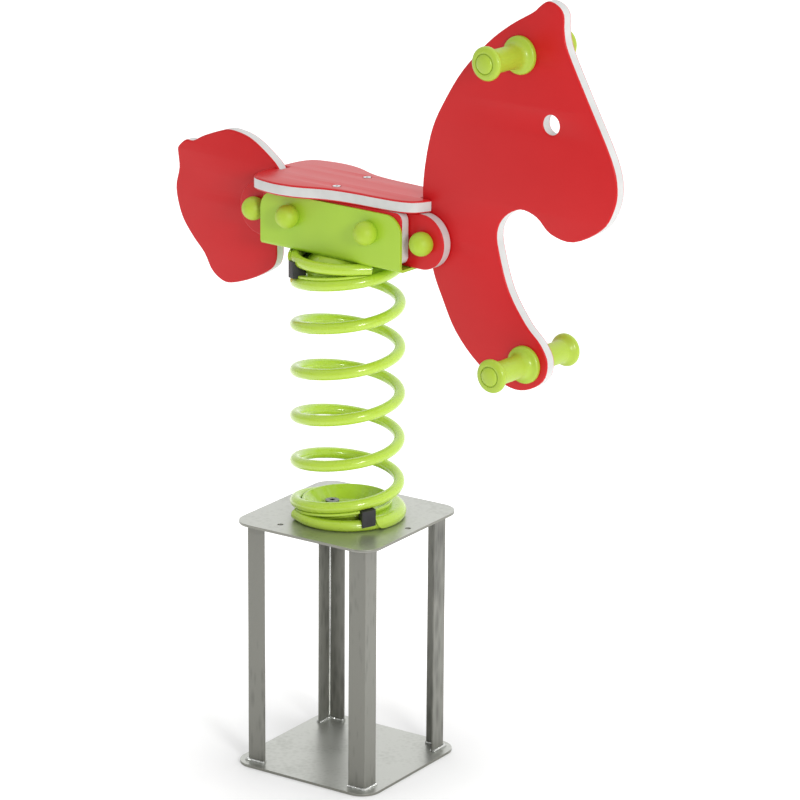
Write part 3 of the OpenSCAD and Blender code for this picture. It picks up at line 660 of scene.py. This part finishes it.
# Seat plate: the same sheet laid flat on the beams, slotted round the neck and the tail.
# Two screws hold it down, and use has polished its skin a little more than the panels'.
seat_sheet = panel_sheet("seat_sheet", gloss=0.42)
seat_piece = sheet_piece("seat", axis=2)
seat_piece.data.materials.append(seat_sheet)
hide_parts("seat")
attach(seat_piece, "rider")


# Screws and bolts of the panels: zinc-plated steel, turned in through the seat and the stack.
# The bolts' ends and their nuts are hidden under the dome caps.
fastener_zinc = bright_zinc("fastener_zinc", dark=(0.50, 0.51, 0.52), light=(0.74, 0.75, 0.76))
for fastener in ("seat_screws", "bracket_bolts", "bracket_nuts", "beam_bolts", "beam_nuts"):
    dress(fastener, fastener_zinc)


# Dome caps: moulded lime balls with a flat side, pressed over the bolt ends.
# They keep clothes off the bolts, and their plastic is duller than the steel's coat.
cap_lime = lime_coat(
    "cap_lime", dark=(0.38, 0.55, 0.028), light=(0.42, 0.59, 0.036),
    roughness=(0.46, 0.54), coat=0.0, peel=0.03,
)
for cap in ("bracket_caps", "beam_caps"):
    dress(cap, cap_lime)


# Handgrips and footrests: moulded lime grips pushed on a steel bar, with small knobs on the waist.
# A round end cap closes each one, with a fine groove round it.
knob_pitch, knob_rows, knobs_round, knob_height, knob_steps = 0.0027, 16, 40, 0.0004, 4
waist_start, waist_radius = 0.0205, 0.0165
waist = [
    (waist_start + knob_pitch * i / knob_steps, waist_radius)
    for i in range(knob_steps * knob_rows + 1)
]
grip_profile = [
    (0.0, 0.0268), (0.0008, 0.0275), (0.0044, 0.0275), (0.0062, 0.0269), (0.0075, 0.0254),
    (0.0086, 0.0232), (0.0100, 0.0210), (0.0122, 0.0190), (0.0150, 0.0176), (0.0182, 0.0168), *waist,
    (0.0656, 0.0169), (0.0678, 0.0179), (0.0698, 0.0196), (0.0714, 0.0214), (0.0732, 0.0231),
    (0.0752, 0.0241), (0.0774, 0.0245), (0.0796, 0.0241), (0.0814, 0.0230), (0.0827, 0.0213),
    (0.0835, 0.0192), (0.0838, 0.0170), (0.0836, 0.0152), (0.0822, 0.0147), (0.0822, 0.0140),
    (0.0843, 0.0136), (0.0855, 0.0123), (0.0866, 0.0096), (0.0873, 0.0058), (0.0876, 0.0004),
]


def grip_knobs(along, angle):
    row = (along - waist_start) / knob_pitch
    if not 0 < row < knob_rows:
        return 0
    across = 0.5 - 0.5 * math.cos(2 * math.pi * row)
    around = 0.5 - 0.5 * math.cos(knobs_round * angle + math.pi * math.floor(row))
    return knob_height * across * around


grip_lime = lime_coat(
    "grip_lime", dark=(0.36, 0.51, 0.030), light=(0.40, 0.55, 0.040),
    roughness=(0.34, 0.44), coat=0.1, peel=0.02,
)
for pair, end_caps in (("handgrip", "handle_end_caps"), ("footrest", "footrest_end_caps")):
    for side, turn in (("right", 90), ("left", -90)):
        grip = pair + "_" + side
        low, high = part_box(grip)
        foot_y = high.y if side == "right" else low.y
        foot = Vector(((low.x + high.x) / 2, foot_y, (low.z + high.z) / 2))
        moulding = bmesh.new()
        revolve(moulding, grip_profile, knob_steps * knobs_round, grip_knobs)
        piece = finished(grip + "_moulding", moulding, sharp_angle=40)
        piece.matrix_world = Matrix.Translation(foot) @ Matrix.Rotation(math.radians(turn), 4, "X")
        piece.data.materials.append(grip_lime)
        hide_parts(grip, end_caps)
        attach(piece, "rider")
for bar in ("handle_bar", "footrest_bar"):
    dress(bar, fastener_zinc)


# Floor: a plain pale studio floor whose glow is painted light, brighter further out like a lit paper
# sweep.
# It glows less close to the part, a painted shadow round its foot, and in front, where it would wash the
# panels out.
floor_half, floor_drop = 30, 0.0005
shade_reach, full_reach, shade_glow, full_glow = 0.15, 0.55, 0.16, 0.62
to_the_back, front_depth, back_depth, front_share = (-0.64, 0.77, 0), -2.4, -0.2, 0.25
floor_data = bpy.data.meshes.new("floor")
floor_corners = [(-floor_half, -floor_half, 0), (floor_half, -floor_half, 0),
                 (floor_half, floor_half, 0), (-floor_half, floor_half, 0)]
floor_data.from_pydata(floor_corners, [], [(0, 1, 2, 3)])
floor = bpy.data.objects.new("floor", floor_data)
floor.location.z = -floor_drop
bpy.context.scene.collection.objects.link(floor)
pale, made, joins, shader = new_material("pale_floor")
shader.inputs["Base Color"].default_value = (0.75, 0.75, 0.75, 1)
shader.inputs["Roughness"].default_value = 0.9
shader.inputs["Specular IOR Level"].default_value = 0.0
shader.inputs["Emission Color"].default_value = (1, 1, 1, 1)
place = made.new("ShaderNodeTexCoord").outputs["Object"]
away = made.new("ShaderNodeVectorMath")
away.operation = "LENGTH"
joins.new(place, away.inputs[0])
# Painted shadow: the glow fades towards the part.
sweep = made.new("ShaderNodeMapRange")
sweep.inputs["From Min"].default_value = shade_reach
sweep.inputs["From Max"].default_value = full_reach
sweep.inputs["To Min"].default_value = shade_glow
sweep.inputs["To Max"].default_value = full_glow
joins.new(away.outputs["Value"], sweep.inputs["Value"])
depth = made.new("ShaderNodeVectorMath")
depth.operation = "DOT_PRODUCT"
depth.inputs[1].default_value = to_the_back
joins.new(place, depth.inputs[0])
behind = made.new("ShaderNodeMapRange")
behind.interpolation_type = "SMOOTHSTEP"
behind.inputs["From Min"].default_value = front_depth
behind.inputs["From Max"].default_value = back_depth
behind.inputs["To Min"].default_value = front_share
joins.new(depth.outputs["Value"], behind.inputs["Value"])
lit = made.new("ShaderNodeMath")
lit.operation = "MULTIPLY"
joins.new(sweep.outputs["Result"], lit.inputs[0])
joins.new(behind.outputs["Result"], lit.inputs[1])
joins.new(lit.outputs["Value"], shader.inputs["Emission Strength"])
floor_data.materials.append(pale)


# Studio light: a white surround that is brightest above and behind the part.
# A low key lamp stands to the right of the camera, and a weak fill to its left.
brightest_way, dim_glow, bright_glow = (0, 0.75, 0.66), 0.08, 1.3
lamps = (("key", (4.1, -2.1, 2.2), 1.0, 84), ("fill", (-1.6, -4.6, 2.0), 2.0, 6))
aim = Vector((0.1, 0, 0.75))
studio = bpy.data.worlds.new("studio")
bpy.context.scene.world = studio
studio.use_nodes = True
made, joins = studio.node_tree.nodes, studio.node_tree.links
bright_side = made.new("ShaderNodeVectorMath")
bright_side.operation = "DOT_PRODUCT"
bright_side.inputs[1].default_value = brightest_way
joins.new(made.new("ShaderNodeTexCoord").outputs["Generated"], bright_side.inputs[0])
glow = made.new("ShaderNodeMapRange")
glow.inputs["From Min"].default_value = -1
glow.inputs["To Min"].default_value = dim_glow
glow.inputs["To Max"].default_value = bright_glow
joins.new(bright_side.outputs["Value"], glow.inputs["Value"])
made["Background"].inputs["Color"].default_value = (1, 1, 1, 1)
joins.new(glow.outputs["Result"], made["Background"].inputs["Strength"])
bpy.context.scene.view_settings.view_transform = "Standard"
for name, place, size, power in lamps:
    lamp = bpy.data.lights.new(name, "AREA")
    lamp.size = size
    lamp.energy = power
    light = bpy.data.objects.new(name, lamp)
    light.location = place
    light.rotation_mode = "QUATERNION"
    light.rotation_quaternion = (aim - Vector(place)).to_track_quat("-Z", "Y")
    bpy.context.scene.collection.objects.link(light)


# Camera: a long lens ahead of the part and to its right, looking down on it.
# Its place, turn, tilt and roll are fitted to the photograph.
camera_place = (3.5388, -4.2713, 2.2805)
camera_turn, camera_tilt, camera_roll = 38.836, 72.856, 0.4355
lens = bpy.data.cameras.new("camera")
lens.sensor_width = 36
lens.lens = 175.53
lens.clip_end = 200
camera = bpy.data.objects.new("camera", lens)
camera.matrix_world = (
    Matrix.Translation(camera_place)
    @ Matrix.Rotation(math.radians(camera_turn), 4, "Z")
    @ Matrix.Rotation(math.radians(camera_tilt), 4, "X")
    @ Matrix.Rotation(math.radians(camera_roll), 4, "Z")
)
bpy.context.scene.collection.objects.link(camera)
bpy.context.scene.camera = camera
